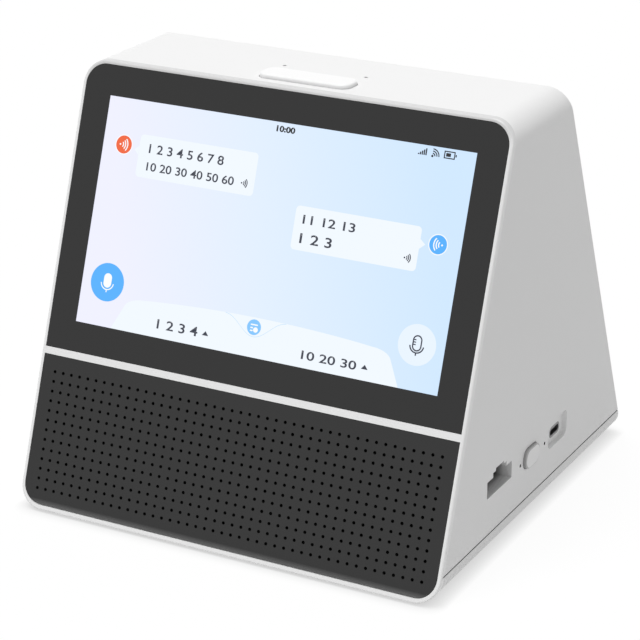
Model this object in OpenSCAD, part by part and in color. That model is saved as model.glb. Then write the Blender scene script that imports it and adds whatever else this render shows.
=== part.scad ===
// Desktop translation machine: a wedge shaped table unit with a touch screen over a loudspeaker grille.
// X runs across the front, Y away from the user and Z up. The origin is on the table, in the middle
// of the footprint. Sizes are millimetres.

/* [Housing] */
// Width of the housing
body_w = 182; // [176:1:200]
// Height of the housing above its feet
body_h = 167.7; // [160:0.1:190]
// Depth of the housing at its bottom, between its front and back faces
body_d = 182.4; // [170:0.1:210]
// Lean of the front face from the vertical
front_tilt = 19.4; // [15:0.1:24]
// Lean of the back face from the vertical
back_tilt = 24; // [18:0.1:27]
// Radius of the four long corners of the housing
corner_r = 9.8; // [8.5:0.1:14]
// Radius along the top edge of the back
back_top_r = 1.6; // [0.5:0.1:4]
// Radius along the bottom edge of the back
back_bottom_r = 2.6; // [0.5:0.1:5]
// Wall thickness of the shell and the base
wall = 2.4; // [1.8:0.1:3]
// Height of the joint between shell and base, above the housing's bottom
seam_z = 10.5; // [9.8:0.1:14]
// Width of the groove at that joint
seam_gap = 0.5; // [0.2:0.1:1]
// Height of the rubber feet below the housing
foot_h = 0.8; // [0.6:0.1:4]
// Diameter of the rubber feet
foot_dia = 14; // [8:0.5:20]

/* [Front] */
// Width of the rim beside the panels
rim_side = 1.45; // [1.2:0.05:3]
// Height of the rim over the touch glass, along the slope
rim_top = 1.3; // [1.2:0.05:3]
// Height of the rim under the grille, along the slope
rim_bottom = 2.05; // [1.6:0.05:4]
// Depth of the rim piece, at right angles to the front
rim_d = 2.4; // [2:0.1:4]
// Radius on the outer edge of the rim
rim_edge_r = 0.85; // [0.4:0.05:1]
// Depth of the skirt that the rim piece pushes into the housing
skirt_d = 5; // [4:0.1:6]
// Corner radius of the glass and the grille
panel_r = 8.5; // [7:0.1:12]
// Height of the bar between glass and grille
divider_h = 2.8; // [2:0.1:6]
// Height of the grille, along the slope
grille_h = 59.25; // [57:0.25:62]
// Depth of the panels' faces below the rim
panel_sink = 0.15; // [0:0.05:0.4]
// Thickness of the touch glass
glass_t = 1.1; // [0.7:0.1:1.3]
// Black border beside the lit picture
border_side = 11.85; // [10.5:0.05:16]
// Black border above and below the lit picture
border_edge = 11.9; // [10.5:0.05:16]

/* [Speaker grille] */
// Columns of holes
hole_columns = 45; // [9:2:45]
// Rows of holes
hole_rows = 13; // [3:2:13]
// Diameter of the holes
hole_dia = 1.3; // [0.8:0.1:2]
// Plain border beside the outer columns
hole_side = 5.95; // [4:0.05:9]
// Plain border below the bottom row
hole_low = 6.5; // [5:0.1:9]
// Plain border above the top row
hole_high = 6.55; // [4:0.05:9]
// Thickness of the grille
grille_t = 1.2; // [0.8:0.1:1.3]
// Height of the rolled lower edge
roll_h = 2.9; // [1:0.1:3.5]
// Depth of the rolled lower edge
roll_d = 0.75; // [0.3:0.05:0.8]

/* [Loudspeakers] */
// Distance of each loudspeaker from the middle
speaker_x = 42; // [40:0.5:50]
// Side of the square flange
speaker_flange = 40; // [36:0.5:42]
// Diameter of the cone's surround
cone_dia = 34; // [28:0.5:35]
// Depth of the basket behind its flange
basket_d = 9; // [7:0.5:11]
// Diameter of the magnet
magnet_dia = 26; // [20:0.5:28]
// Thickness of the magnet
magnet_t = 7; // [5:0.5:8]

/* [Top] */
// Length of the talk bar
talk_w = 38.8; // [30:0.1:50]
// Depth of the talk bar, front to back
talk_d = 11.6; // [9:0.1:14]
// Corner radius of the talk bar
talk_r = 4.2; // [2:0.1:4.4]
// Height of the talk bar over the housing
talk_proud = 1.6; // [1.3:0.1:3]
// Radius on the talk bar's upper edge
talk_edge_r = 0.8; // [0.4:0.1:1.2]
// Distance of the talk bar's middle behind the top's front edge
talk_back = 12.3; // [11.5:0.1:14]
// Travel of the talk bar
talk_travel = 1; // [0.5:0.1:1]
// Distance between the two microphone holes
mic_pitch = 35; // [30:0.5:36]
// Distance of the microphone holes behind the top's front edge
mic_back = 26; // [25:0.1:28]
// Diameter of the microphone holes
mic_hole_dia = 1.5; // [0.8:0.1:2]

/* [Right side] */
// Middle of the network socket behind the front bottom edge
net_y = 54; // [52:0.1:56]
// Underside of the network socket's mouth above the housing's bottom
net_z = 25.8; // [25.6:0.1:27]
// Width of the network socket's mouth
net_w = 22.5; // [18:0.1:23]
// Height of the main part of the mouth
net_h = 6.9; // [6.6:0.1:7.5]
// Width of the first step above it
net_step_w = 12.2; // [10:0.1:14]
// Height of that step
net_step_h = 1.9; // [1:0.1:2.5]
// Width of the catch notch on top
net_key_w = 7.4; // [5:0.1:9]
// Height of the catch notch
net_key_h = 1.1; // [0.5:0.1:1.5]
// Middle of the power button behind the front bottom edge
power_y = 83.2; // [82:0.1:85]
// Height of the middle of the power button above the housing's bottom
power_z = 27.6; // [27:0.1:29]
// Length of the power button
power_w = 13.2; // [10:0.1:14]
// Height of the power button
power_h = 8.1; // [7:0.1:9]
// Corner radius of the power button
power_r = 3.5; // [1:0.1:4]
// How far the power button stands out
power_proud = 1.3; // [1:0.1:2]
// Travel of the power button
power_travel = 0.8; // [0.4:0.1:0.8]
// Place of the front status light behind the front bottom edge
light_front_y = 73.7; // [73:0.1:74.5]
// Place of the rear status light behind the front bottom edge
light_rear_y = 97.3; // [95:0.1:98.5]
// Height of the status lights above the housing's bottom
light_z = 27; // [26.4:0.1:28]
// Diameter of the status lights
light_dia = 1.2; // [0.8:0.1:2]
// Middle of the USB recess behind the front bottom edge
usb_y = 110.3; // [110:0.1:112]
// Height of the middle of the USB recess above the housing's bottom
usb_z = 27.9; // [27.5:0.1:28.5]
// Length of the USB recess
usb_w = 19; // [16:0.1:20]
// Height of the USB recess
usb_h = 11.2; // [9:0.1:12]
// Corner radius of the USB recess
usb_r = 3; // [1:0.1:4]
// Depth of the USB recess
usb_d = 2; // [1:0.1:2.4]
// Place of the USB socket's middle behind the recess's middle
usb_socket_dy = 1.4; // [0:0.1:2]

/* [Boards and battery] */
// Top of the main board above the housing's bottom
board_z = 24.8; // [24.6:0.1:25]
// Thickness of the circuit boards
board_t = 1.6; // [1:0.1:2]
// Length of the main board, front to back
board_d = 90; // [84:1:96]
// Width of the main board
board_w = 80; // [76:1:84]
// Diameter of the battery cells
cell_dia = 18.4; // [14:0.1:18.6]
// Length of the battery cells
cell_l = 65; // [50:0.5:68]

/* [Fasteners and fits] */
// Clearance around the moving buttons
button_gap = 0.3; // [0.2:0.05:0.5]
// Clearance between pieces that push together
fit_gap = 0.15; // [0.1:0.05:0.3]
// Gap at the tight joints between outer pieces
joint_gap = 0.05; // [0.03:0.01:0.1]
// Shaft diameter of the case screws
case_screw_dia = 3; // [2.5:0.1:3.5]
// Shaft diameter of the small screws
small_screw_dia = 2; // [1.6:0.1:2.5]

/* [Hidden] */
$fn = 64;

// Planes and lengths that the housing's own sizes give
z0 = foot_h;
z_top = z0 + body_h;
big = 2 * max(body_w, body_d, body_h);
front_set = rim_edge_r * ((1 + sin(front_tilt)) / cos(front_tilt) - 1);
back_set = back_bottom_r * ((1 + sin(back_tilt)) / cos(back_tilt) - 1);
y_front = -(body_d + front_set - back_set) / 2;
y_back = y_front + body_d;
slope_l = body_h / cos(front_tilt);
side_x = body_w / 2;
inner_x = side_x - wall;

// The front panels, in the front face's own frame
panel_w = body_w - 2 * rim_side;
panel_s0 = rim_bottom;
panel_s1 = slope_l - rim_top;
divider_s0 = panel_s0 + grille_h;
divider_s1 = divider_s0 + divider_h;
pocket_d = panel_sink + max(glass_t, grille_t) + joint_gap;
picture_s = (divider_s1 + panel_s1) / 2;
picture_w = panel_w - 2 * border_side;
picture_h = panel_s1 - divider_s1 - 2 * border_edge;
hole_pitch_x = (panel_w - 2 * hole_side) / (hole_columns - 1);
hole_pitch_y = (grille_h - hole_low - hole_high) / (hole_rows - 1);
edge_play = 0.1;

// The display module, behind the glass
module_side = 3.8;
module_edge = 4.2;
module_w = picture_w + 2 * module_side;
module_h = picture_h + 2 * module_edge;
module_t = 3.4;
module_n0 = panel_sink + glass_t;
bracket_t = 0.8;
bracket_rim = 17;
bracket_screw_x = module_w / 2 - 9;
bracket_screw_s = module_h / 2 - 8;
bracket_lip = 3;
bracket_n0 = module_n0 + module_t;

// The loudspeakers, in the front face's frame
speaker_s = panel_s0 + (hole_low + grille_h - hole_high) / 2;
sound_w = panel_w - 9;
sound_h = grille_h - 9;
sound_r = 2;
cloth_t = 0.3;
baffle_t = 2;
gasket_t = 0.8;
flange_t = 1.2;
cloth_n = rim_d;
baffle_n = cloth_n + cloth_t;
gasket_n = baffle_n + baffle_t;
flange_n = gasket_n + gasket_t;
magnet_n = flange_n + basket_d;
baffle_w = sound_w + 3;
baffle_h = sound_h + 1;
speaker_screw_in = 3.2;

// The top: talk bar, its board, and the microphones
top_in = z_top - wall;
y_top_front = y_front + body_h * tan(front_tilt);
talk_yc = y_top_front + talk_back;
mic_yc = y_top_front + mic_back;
flange_lip = 1;
talk_flange_t = 1;
talk_flange_z = top_in - button_gap - talk_flange_t;
top_board_z = top_in - 10;
top_board_w = talk_w + 17;
top_board_y0 = talk_yc - talk_d / 2 - 1.4;
top_board_y1 = mic_yc + 7;
top_post_x = talk_w / 2 + 5;
top_post_dia = 4.6;
tact_side = 6;
tact_h = 3.5;
plunger_dia = 3.2;
plunger_in = 1.2;
talk_plunger_out = talk_travel + 0.6;
talk_hole_d = plunger_in + talk_travel + 0.3;
talk_switch_x = talk_w / 4;
mic_dia = 4;
mic_h = 1.4;

// The right side, its board and its sockets
board_x1 = side_x - 5.4;
board_x0 = board_x1 - board_w;
board_y0 = y_front + 41.4;
board_y1 = board_y0 + board_d;
board_top = z0 + board_z;
board_bottom = board_top - board_t;
net_yc = y_front + net_y;
net_z0 = z0 + net_z;
net_wall = 1;
net_l = 19;
net_cavity = 15;
power_yc = y_front + power_y;
power_zc = z0 + power_z;
power_flange_t = 1;
power_flange_x1 = inner_x - button_gap;
power_flange_x0 = power_flange_x1 - power_flange_t;
power_plunger_out = power_travel + 2.2;
power_hole_d = plunger_in + power_travel + 0.3;
power_tact_x1 = power_flange_x0 - power_plunger_out;
usb_yc = y_front + usb_y;
usb_zc = z0 + usb_z;
usb_pad = 1.4;
usb_floor_x = side_x - usb_d;
usb_socket_yc = usb_yc + usb_socket_dy;
usb_shell_w = 8.94;
usb_shell_h = 3.2;
usb_shell_t = 0.3;
usb_shell_l = 9.4;
usb_back_t = 1.6;
usb_lift = 0.4;
usb_socket_zc = board_top + usb_lift + usb_shell_h / 2;
light_zc = z0 + light_z;
light_ys = [y_front + light_front_y, y_front + light_rear_y];
led_x = board_x1 - 1.6;

// Parts that stand on the main board
shield_w = 0.42 * board_w;
shield_h = 2.6;
shield_t = 0.4;
shield_x0 = board_x0 + 0.12 * board_w;
shield_y0 = board_y0 + 0.27 * board_d;
ribbon_x = board_x0 + 0.32 * board_w;
ribbon_end_y = board_y0 + 0.11 * board_d;
coil_x = board_x0 + 0.63 * board_w;
coil_dia = 6;
coil_h = 4.5;
chip_y = board_y0 + 0.74 * board_d;
chip_size = [6, 9, 1];

// Posts and screws
base_floor = z0 + wall;
post_edge = 4.5;
board_posts = [
    [board_x0 + post_edge, board_y0 + post_edge],
    [board_x0 + post_edge, board_y1 - post_edge],
    [board_x0 + 0.73 * board_w, board_y0 + post_edge],
    [board_x1 - post_edge - 1.5, board_y1 - post_edge]
];
board_screw_l = 3.5 * small_screw_dia;
talk_board_screw_l = 3 * small_screw_dia;
frame_screw_l = 4.5 * small_screw_dia;
case_screw_l = 5.3 * case_screw_dia;
board_post_dia = 6;
case_post_dia = 7;
case_post_x = side_x - 11;
case_posts = [
    [-case_post_x, y_front + 27],
    [case_post_x, y_front + 27],
    [-case_post_x, y_back - 24],
    [case_post_x, y_back - 24]
];
case_post_top = z0 + 34;
head_recess = 1.3;
foot_sink = 0.8;
foot_x = side_x - 23;
foot_ys = [y_front + 24, y_back - 24];
frame_screw_x = side_x - 6;
frame_screw_s = [divider_s1 + 14, panel_s1 - 20];
frame_boss_dia = 5;
frame_head_dia = 3.8;
pilot_gap = 0.1;
frame_post_n = rim_d + 2.5;
frame_post_l = 8.5;

// The lip of the base inside the joint
lip_in = wall + fit_gap;
lip_t = 1.4;
lip_h = 2.6;

// The battery, on the left of the base
cell_gap = 1.4;
tray_wall = 1.2;
tray_w = cell_l + 2 * tray_wall + 2;
tray_d = 2 * cell_dia + 3 * cell_gap + 2 * tray_wall - cell_gap;
tray_x = -side_x + 14 + tray_w / 2;
tray_y = 4;

// The rounded outline of the housing seen from the front, drawn in X and Z
module section(inset) {
    r = corner_r - inset;
    w = body_w - 2 * inset;
    h = body_h - 2 * inset;
    translate([0, z0 + body_h / 2]) rounded_plate(w, h, r);
}

// A rectangle with round corners, centred
module rounded_plate(w, h, r) {
    square([w, h - 2 * r], center = true);
    square([w - 2 * r, h], center = true);
    for (sx = [-1, 1], sy = [-1, 1])
        translate([sx * (w / 2 - r), sy * (h / 2 - r)]) circle(r);
}

// The side of the housing in Y and Z, open towards the front, with a sloping back
module side_profile(inset) {
    rt = max(back_top_r - inset, 0.05);
    rb = max(back_bottom_r - inset, 0.05);
    zl = z0 + inset;
    zh = z_top - inset;
    ct = [back_y(zh - rt, inset) - rt / cos(back_tilt), zh - rt];
    cb = [back_y(zl + rb, inset) - rb / cos(back_tilt), zl + rb];
    slope_dir = [cos(back_tilt), sin(back_tilt)];
    polygon([
        [y_front - 20, zl], [cb[0], zl], cb + rb * slope_dir,
        ct + rt * slope_dir, [ct[0], zh], [y_front - 20, zh]
    ]);
    translate(ct) circle(rt);
    translate(cb) circle(rb);
}

// Where the back face lies at a height, moved in by an inset
function back_y(z, inset) = y_back - (z - z0) * tan(back_tilt) - inset / cos(back_tilt);

// The housing's whole form, moved in by an inset, before the front is cut
module envelope(inset) {
    intersection() {
        translate([0, y_back + 20, 0]) rotate([90, 0, 0])
            linear_extrude(body_d + 60) section(inset);
        rotate([90, 0, 90]) translate([0, 0, -body_w])
            linear_extrude(2 * body_w) side_profile(inset);
    }
}

// Children are drawn on the front face: X across, Y up the slope, Z out of the face
module on_front() {
    translate([0, y_front, z0]) rotate([90 - front_tilt, 0, 0]) children();
}

// The slab between two depths behind the front face
module front_slab(n0, n1) {
    on_front() translate([-big / 2, -big / 2, -n1]) cube([big, 2 * big, n1 - n0]);
}

// Everything at least a depth behind the front face
module behind_front(n) {
    front_slab(n, big);
}

module level_slab(lo, hi) {
    translate([-big / 2, -big / 2, lo]) cube([big, big, hi - lo]);
}

// Children are drawn on a plane that faces +X: X is the object's Y, Y is its Z
module on_side(x) {
    translate([x, 0, 0]) rotate([90, 0, 90]) children();
}

// A screw with a flat round head, its head's underside at the origin and its shaft down
module screw(dia, length) {
    head_t = 0.4 * dia;
    difference() {
        union() {
            translate([0, 0, -length]) cylinder(d = dia, h = length, $fn = 24);
            cylinder(d = 1.85 * dia, h = head_t, $fn = 32);
        }
        translate([0, 0, head_t / 2]) cube([0.95 * dia, 0.22 * dia, head_t], center = true);
        translate([0, 0, head_t / 2]) cube([0.22 * dia, 0.95 * dia, head_t], center = true);
    }
}

// The outline that both front panels fill, up the slope
module panels_outline(play) {
    translate([0, (panel_s0 + panel_s1) / 2])
        rounded_plate(panel_w - 2 * play, panel_s1 - panel_s0 - 2 * play, panel_r - play);
}

// The steps of the rounded rim: each outline is drawn in by what the edge radius takes
module rim_block() {
    steps = 5;
    thin = 0.02;
    intersection() {
        hull() {
            for (i = [0:steps]) {
                a = 90 * i / steps;
                depth = rim_edge_r * (1 - sin(a));
                rim_layer(depth, rim_edge_r * (1 - cos(a)), thin);
            }
            rim_layer(rim_d - thin, 0, thin);
        }
        front_slab(0, rim_d);
    }
}

// One thin outline of the rim, at a depth behind the front face
module rim_layer(depth, inset, thin) {
    lift = depth * tan(front_tilt);
    w = body_w - 2 * inset;
    h = slope_l - 2 * inset;
    r = corner_r - inset;
    on_front() translate([0, lift + slope_l / 2, -depth - thin])
        linear_extrude(thin) rounded_plate(w, h, r, $fn = 64);
}

// The skirt behind the rim, notched for the talk bar and for the shell's screw posts
module skirt_ring() {
    difference() {
        intersection() {
            difference() {
                envelope(lip_in);
                envelope(lip_in + lip_t);
            }
            front_slab(rim_d - 0.4, rim_d + skirt_d);
        }
        translate([0, 0, talk_flange_z - 4]) linear_extrude(wall + 8) talk_outline(flange_lip + 0.8);
        on_front() for (sx = [-1, 1], s = frame_screw_s)
            translate([sx * frame_screw_x, s, -frame_post_n - frame_post_l / 2 + 0.2])
                cube([30, 5.4, frame_post_l + 0.6], center = true);
    }
}

// Round the front screws: bosses on the rim piece
module frame_bosses() {
    on_front() for (sx = [-1, 1], s = frame_screw_s)
        translate([sx * frame_screw_x, s, 0.1 - frame_post_n]) cylinder(d = frame_boss_dia, h = 2.5);
}

// The joint between shell and base runs on as a shallow notch in each end of the rim piece
module seam_notches() {
    notch_d = 0.5;
    intersection() {
        level_slab(z0 + seam_z - seam_gap / 2, z0 + seam_z + seam_gap / 2);
        front_slab(rim_edge_r, rim_d + 0.1);
        for (sx = [-1, 1]) translate([sx * side_x, 0, z0 + seam_z])
            cube([2 * notch_d, big, 2], center = true);
    }
}

module front_frame() {
    color("whitesmoke") difference() {
        union() {
            rim_block();
            skirt_ring();
            frame_bosses();
        }
        seam_notches();
        // Pocket for the glass and the grille, which leaves the bar between them
        on_front() difference() {
            translate([0, 0, -pocket_d]) linear_extrude(pocket_d + 1) panels_outline(0);
            translate([-panel_w, divider_s0, -pocket_d - 1])
                cube([2 * panel_w, divider_h, pocket_d + 3]);
        }
        // Window for the display module
        on_front() translate([0, picture_s, -rim_d - 0.5]) linear_extrude(rim_d)
            rounded_plate(module_w + 0.8, module_h + 0.8, 1.5);
        // Window for the sound
        on_front() translate([0, (panel_s0 + divider_s0) / 2, -rim_d - 0.5]) linear_extrude(rim_d)
            rounded_plate(sound_w, sound_h, sound_r);
        // Screws that hold the rim piece to the shell, hidden by the glass
        on_front() for (sx = [-1, 1], s = frame_screw_s) translate([sx * frame_screw_x, s, 0]) {
            translate([0, 0, -rim_d - 3]) cylinder(d = small_screw_dia + 0.3, h = rim_d + 3);
            translate([0, 0, -rim_d - 0.6]) cylinder(d = frame_head_dia + 0.3, h = rim_d + 0.6);
        }
    }
}

module touch_glass() {
    color([0.12, 0.12, 0.13]) on_front() intersection() {
        translate([0, 0, -panel_sink - glass_t]) linear_extrude(glass_t) panels_outline(edge_play);
        translate([-panel_w, divider_s1 + edge_play, -10]) cube([2 * panel_w, slope_l, 20]);
    }
}

module display_panel() {
    color("lavender") on_front() translate([0, picture_s, -module_n0 - module_t])
        linear_extrude(module_t) rounded_plate(module_w, module_h, 1);
}

// A pressed plate behind the display, with an ear at each corner that is screwed to the rim piece
module display_bracket() {
    color("silver") on_front() difference() {
        translate([0, picture_s, -bracket_n0 - bracket_t]) union() {
            linear_extrude(bracket_t) difference() {
                rounded_plate(module_w - 2, module_h - 2, 4);
                for (sx = [-1, 1]) translate([sx * module_w / 4, 0])
                    rounded_plate(module_w / 2 - 1.3 * bracket_rim, module_h - 2 * bracket_rim, 8);
            }
            for (sy = [-1, 1])
                translate([-module_w / 2 + 6, sy * (module_h / 2 - 4) - bracket_t / 2, -bracket_lip])
                    cube([module_w - 12, bracket_t, bracket_lip + bracket_t / 2]);
        }
        bracket_holes(small_screw_dia + 0.2);
    }
}

// The bracket's four screws, through its corners into the display module's frame
module bracket_holes(dia) {
    for (sx = [-1, 1], sy = [-1, 1])
        translate([sx * bracket_screw_x, picture_s + sy * bracket_screw_s, -bracket_n0 - 3])
            cylinder(d = dia, h = 6, $fn = 24);
}

module display_screws() {
    color("dimgray") on_front() for (sx = [-1, 1], sy = [-1, 1])
        translate([sx * bracket_screw_x, picture_s + sy * bracket_screw_s, -bracket_n0 - bracket_t])
            rotate([180, 0, 0]) screw(small_screw_dia, bracket_t);
}

// Flat cable from the display's lower edge down to the main board
module display_ribbon() {
    ribbon_w = 0.3 * board_w;
    ribbon_t = 0.4;
    plug_h = 1.6;
    drop_s = picture_s - module_h / 2 + bracket_rim + 4;
    top = front_point(drop_s, bracket_n0 + 0.02);
    bend = front_point(drop_s, bracket_n0 + 8);
    end_y = ribbon_end_y;
    end_z = board_top + plug_h;
    color("orange") translate([ribbon_x - ribbon_w / 2, 0, 0]) rotate([90, 0, 90])
        linear_extrude(ribbon_w) polygon(concat(
            [top, bend, [end_y - 3, end_z + ribbon_t], [end_y, end_z + ribbon_t], [end_y, end_z]],
            [[end_y - 3.3, end_z], bend - [0.45, 0.1], top - [0.1, 0.42]]));
    color("white") translate([ribbon_x - ribbon_w / 2 - 2, end_y - 1, board_top])
        cube([ribbon_w + 4, 5, plug_h]);
}

// A point of the front face's frame in the object's Y and Z
function front_point(s, n) = [
    y_front + s * sin(front_tilt) + n * cos(front_tilt),
    z0 + s * cos(front_tilt) - n * sin(front_tilt)
];

// The grille: a plate with a grid of round holes and a lower edge rolled back on an arc
module speaker_grille() {
    roll_r = (roll_h * roll_h + roll_d * roll_d) / (2 * roll_d);
    low = panel_s0 + edge_play;
    color([0.22, 0.22, 0.22]) on_front() difference() {
        intersection() {
            translate([0, 0, -panel_sink - grille_t]) linear_extrude(grille_t)
                panels_outline(edge_play);
            translate([-panel_w / 2, 0, 0]) rotate([90, 0, 90]) linear_extrude(panel_w) union() {
                translate([low + roll_h, -panel_sink - grille_t])
                    square([divider_s0 - edge_play - low - roll_h, grille_t]);
                intersection() {
                    translate([low + roll_h, -panel_sink - roll_r]) circle(roll_r, $fn = 96);
                    translate([low, -panel_sink - grille_t]) square([roll_h + 0.01, grille_t]);
                }
            }
        }
        for (i = [0:hole_columns - 1], j = [0:hole_rows - 1])
            translate([(i - (hole_columns - 1) / 2) * hole_pitch_x,
                panel_s0 + hole_low + j * hole_pitch_y, -panel_sink - grille_t - 1])
                cylinder(d = hole_dia, h = grille_t + 2, $fn = 16);
    }
}

module grille_cloth() {
    color([0.05, 0.05, 0.05]) on_front()
        translate([0, (panel_s0 + divider_s0) / 2, -cloth_n - cloth_t])
        linear_extrude(cloth_t) rounded_plate(sound_w + 3, sound_h + 1.6, 4);
}

module speaker_places() {
    on_front() for (sx = [-1, 1]) translate([sx * speaker_x, speaker_s, 0]) children();
}

module speaker_screw_places() {
    off = speaker_flange / 2 - speaker_screw_in;
    speaker_places() for (sx = [-1, 1], sy = [-1, 1]) translate([sx * off, sy * off, 0]) children();
}

module speaker_baffle() {
    color([0.15, 0.15, 0.15]) difference() {
        on_front() translate([0, (panel_s0 + divider_s0) / 2, -baffle_n - baffle_t])
            linear_extrude(baffle_t) rounded_plate(baffle_w, baffle_h, 4);
        speaker_places() translate([0, 0, -baffle_n - baffle_t - 1])
            cylinder(d = cone_dia - 1, h = baffle_t + 2);
        speaker_screw_places() translate([0, 0, -baffle_n - baffle_t - 1])
            cylinder(d = small_screw_dia, h = baffle_t + 2, $fn = 24);
    }
}

module speaker_gaskets() {
    color([0.1, 0.1, 0.1]) difference() {
        speaker_places() translate([0, 0, -gasket_n - gasket_t]) linear_extrude(gasket_t)
            rounded_plate(speaker_flange, speaker_flange, 3);
        speaker_places() translate([0, 0, -gasket_n - gasket_t - 1])
            cylinder(d = cone_dia - 1, h = gasket_t + 2);
        speaker_screw_places() translate([0, 0, -gasket_n - gasket_t - 1])
            cylinder(d = small_screw_dia + 0.6, h = gasket_t + 2, $fn = 24);
    }
}

// A square flange and a conical basket with four windows, open at the front
module speaker_baskets() {
    basket_wall = 1;
    color("dimgray") difference() {
        union() {
            speaker_places() translate([0, 0, -flange_n - flange_t]) linear_extrude(flange_t)
                rounded_plate(speaker_flange, speaker_flange, 3);
            speaker_places() translate([0, 0, -magnet_n]) rotate_extrude() polygon([
                [0, 0], [magnet_dia / 2 - 1, 0], [cone_dia / 2 + basket_wall, basket_d - flange_t],
                [cone_dia / 2 + basket_wall, basket_d - 0.1], [0, basket_d - 0.1]
            ]);
        }
        speaker_places() translate([0, 0, -magnet_n]) rotate_extrude() polygon([
            [0, 1.2], [magnet_dia / 2 - 2, 1.2], [cone_dia / 2, basket_d - flange_t],
            [cone_dia / 2, basket_d + 1], [0, basket_d + 1]
        ]);
        speaker_places() for (a = [0:90:270]) rotate([0, 0, a])
            translate([cone_dia / 4, -4, -magnet_n + 2]) cube([cone_dia, 8, basket_d - flange_t - 3.2]);
        speaker_screw_places() translate([0, 0, -flange_n - flange_t - 1])
            cylinder(d = small_screw_dia + 0.3, h = flange_t + 2, $fn = 24);
    }
}

// A shallow cone with a half round surround and a dust cap
module speaker_cones() {
    edge_r = cone_dia / 2 - 0.3;
    roll = 1.6;
    deep = -flange_n - basket_d + 3.4;
    face = -flange_n - 1;
    color([0.08, 0.08, 0.08]) speaker_places() rotate_extrude() union() {
        polygon([
            [0, deep], [4, deep], [edge_r - 2 * roll, face - 0.4], [edge_r, face - 0.4],
            [edge_r, face], [edge_r - 2 * roll - 0.3, face], [4.4, deep + 0.8], [0, deep + 0.8]
        ]);
        translate([edge_r - roll, face - 0.2]) intersection() {
            circle(roll, $fn = 32);
            translate([-roll, 0]) square([2 * roll, roll]);
        }
        translate([0, deep + 0.7]) intersection() {
            circle(4.2, $fn = 32);
            square([4.2, 2.6]);
        }
    }
}

module speaker_magnets() {
    color("silver") speaker_places() translate([0, 0, -magnet_n - magnet_t]) {
        cylinder(d = magnet_dia, h = magnet_t);
        translate([0, 0, -1.2]) cylinder(d = magnet_dia - 3, h = 1.3);
    }
}

module speaker_screws() {
    color("dimgray") speaker_screw_places() translate([0, 0, -flange_n - flange_t])
        rotate([180, 0, 0]) screw(small_screw_dia - 0.2, gasket_t + flange_t + baffle_t - 0.2);
}

// The stepped mouth of the network socket, drawn in Y and Z
module net_mouth(grow) {
    translate([net_yc, net_z0]) {
        translate([-net_w / 2 - grow, -grow]) square([net_w + 2 * grow, net_h + 2 * grow]);
        translate([-net_step_w / 2 - grow, 0]) square([net_step_w + 2 * grow, net_h + net_step_h + grow]);
        translate([-net_key_w / 2 - grow, 0])
            square([net_key_w + 2 * grow, net_h + net_step_h + net_key_h + grow]);
    }
}

module network_jack() {
    jack_w = net_w + 2 * net_wall;
    jack_z1 = net_z0 + net_h + net_step_h + net_key_h + net_wall;
    jack_x1 = inner_x - joint_gap;
    color("lightgray") difference() {
        translate([jack_x1 - net_l, net_yc - jack_w / 2, board_top])
            cube([net_l, jack_w, jack_z1 - board_top]);
        on_side(jack_x1 - net_cavity) linear_extrude(net_cavity + 1) net_mouth(0);
        // Slots in the floor that let the eight contacts come up
        for (i = [0:7]) translate([jack_x1 - net_cavity - 3, contact_y(i) - 0.45, board_top - 1])
            cube([4, 0.9, net_z0 - board_top + 3.6]);
    }
}

function contact_y(i) = net_yc + (i - 3.5) * net_w / 11;

// Eight bent wires that rise from the board at the back of the socket and slope forward
module network_contacts() {
    back_x = inner_x - joint_gap - net_cavity - 2.4;
    color("gold") for (i = [0:7]) translate([0, contact_y(i) + 0.3, 0]) rotate([90, 0, 0])
        linear_extrude(0.6) polygon([
            [back_x, board_top], [back_x + 0.5, board_top], [back_x + 0.5, net_z0 + 1.6],
            [back_x + 2.6, net_z0 + 1.6], [back_x + 8, net_z0 + 0.5], [back_x + 8, net_z0 + 0.9],
            [back_x + 2.7, net_z0 + 2.1], [back_x, net_z0 + 2.1]
        ]);
}

module usb_outline(grow) {
    translate([usb_socket_yc, usb_socket_zc])
        rounded_plate(usb_shell_w + 2 * grow, usb_shell_h + 2 * grow, usb_shell_h / 2 - 0.1 + grow);
}

// A drawn metal shell with four short feet that stand on the board
module usb_shell() {
    foot = 0.8;
    color("lightgray") {
        difference() {
            on_side(usb_floor_x - usb_shell_l) linear_extrude(usb_shell_l) usb_outline(0);
            on_side(usb_floor_x - usb_shell_l + usb_back_t) linear_extrude(usb_shell_l)
                usb_outline(-usb_shell_t);
        }
        for (back = [usb_shell_l, usb_pad + 3 * foot], sy = [-1, 1])
            translate([usb_floor_x - back, usb_socket_yc + sy * 2.5 - foot / 2, board_top])
                cube([foot, foot, usb_lift + usb_shell_t / 2]);
    }
}

module usb_tongue() {
    tongue_w = 6.7;
    tongue_l = usb_shell_l - usb_back_t - 1;
    color([0.08, 0.08, 0.08]) on_side(usb_floor_x - usb_shell_l + usb_back_t) linear_extrude(tongue_l)
        translate([usb_socket_yc, usb_socket_zc]) square([tongue_w, 0.7], center = true);
}

module main_board() {
    color("darkgreen") difference() {
        translate([board_x0, board_y0, board_bottom]) cube([board_w, board_d, board_t]);
        for (p = board_posts) translate([p[0], p[1], board_bottom - 1])
            cylinder(d = small_screw_dia + 0.4, h = board_t + 2, $fn = 32);
    }
    // Four memory chips and three coils, fixed to the board
    color("black") for (i = [0:3])
        translate([shield_x0 + 1.5 * i * chip_size[0], chip_y, board_top]) cube(chip_size);
    color("dimgray") for (i = [0:2])
        translate([coil_x, shield_y0 + (0.5 + 2 * i) * coil_dia, board_top])
            cylinder(d = coil_dia, h = coil_h);
}

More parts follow.
